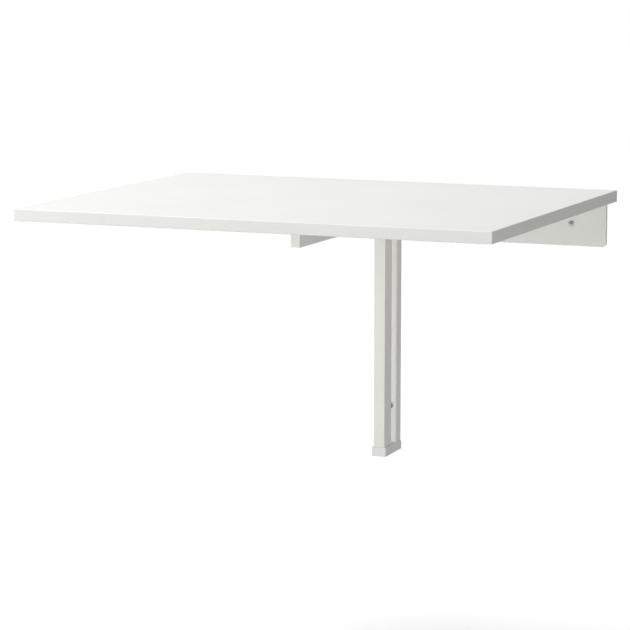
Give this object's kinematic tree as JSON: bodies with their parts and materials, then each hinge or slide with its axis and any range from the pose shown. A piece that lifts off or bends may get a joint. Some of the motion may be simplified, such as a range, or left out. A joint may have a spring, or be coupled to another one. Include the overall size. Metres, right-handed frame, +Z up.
{
  "type": "wall mounted drop leaf table",
  "caption": "White wall mounted table: a hinged leaf on a pressed steel wall rail, held level by a gate support that swings on a wall post.",
  "frame": {"origin": "on the wall plane, midway along the rail, at the height of the rail's wall screws", "axes": "+X along the wall to the right of a person facing the wall, +Y into the wall, +Z up; the leaf stands out towards -Y"},
  "size_m": [0.74, 0.602, 0.4384],
  "materials": {
    "white_steel": "satin white powder coat",
    "white_board": "board with a satin white coating",
    "white_edging": "satin white edging strip",
    "white_plastic": "matt white moulded plastic",
    "pad_rubber": "soft grey bearing pad",
    "zinc_steel": "bright zinc plating"
  },
  "bodies": {
    "wall_frame": {"wall_rail": "white_steel", "wall_post": "white_steel", "post_spacer": "white_plastic", "pivot_foot": "white_plastic", "foot_screw": "zinc_steel", "lower_bush": "white_plastic", "upper_bush": "white_plastic", "fixed_hinge_wing_left": "zinc_steel", "fixed_hinge_wing_right": "zinc_steel", "hinge_pin_left": "zinc_steel", "hinge_pin_right": "zinc_steel", "hinge_rivets": "zinc_steel"},
    "gate": {"gate_upright": "white_steel", "gate_arm": "white_steel", "upright_top_plug": "white_plastic", "upright_bottom_plug": "white_plastic", "upper_pivot_pin": "zinc_steel", "lower_pivot_pin": "zinc_steel", "arm_end_cap": "white_plastic"},
    "leaf": {"leaf_panel": "white_board", "front_edging": "white_edging", "back_edging": "white_edging", "left_edging": "white_edging", "right_edging": "white_edging", "moving_hinge_wing_left": "zinc_steel", "moving_hinge_wing_right": "zinc_steel", "leaf_screws": "zinc_steel", "leaf_rest_pad": "pad_rubber"}
  },
  "joints": [
    {"name": "gate_swing", "type": "hinge", "parent": "wall_frame", "child": "gate", "pos_m": [0, -0.055, 0], "axis": [0, 0, 1], "range_deg": [-90, 90]},
    {"name": "leaf_hinge", "type": "hinge", "parent": "wall_frame", "child": "leaf", "pos_m": [0, -0.072, 0.033], "axis": [-1, 0, 0], "range_deg": [0, 3]}
  ]
}
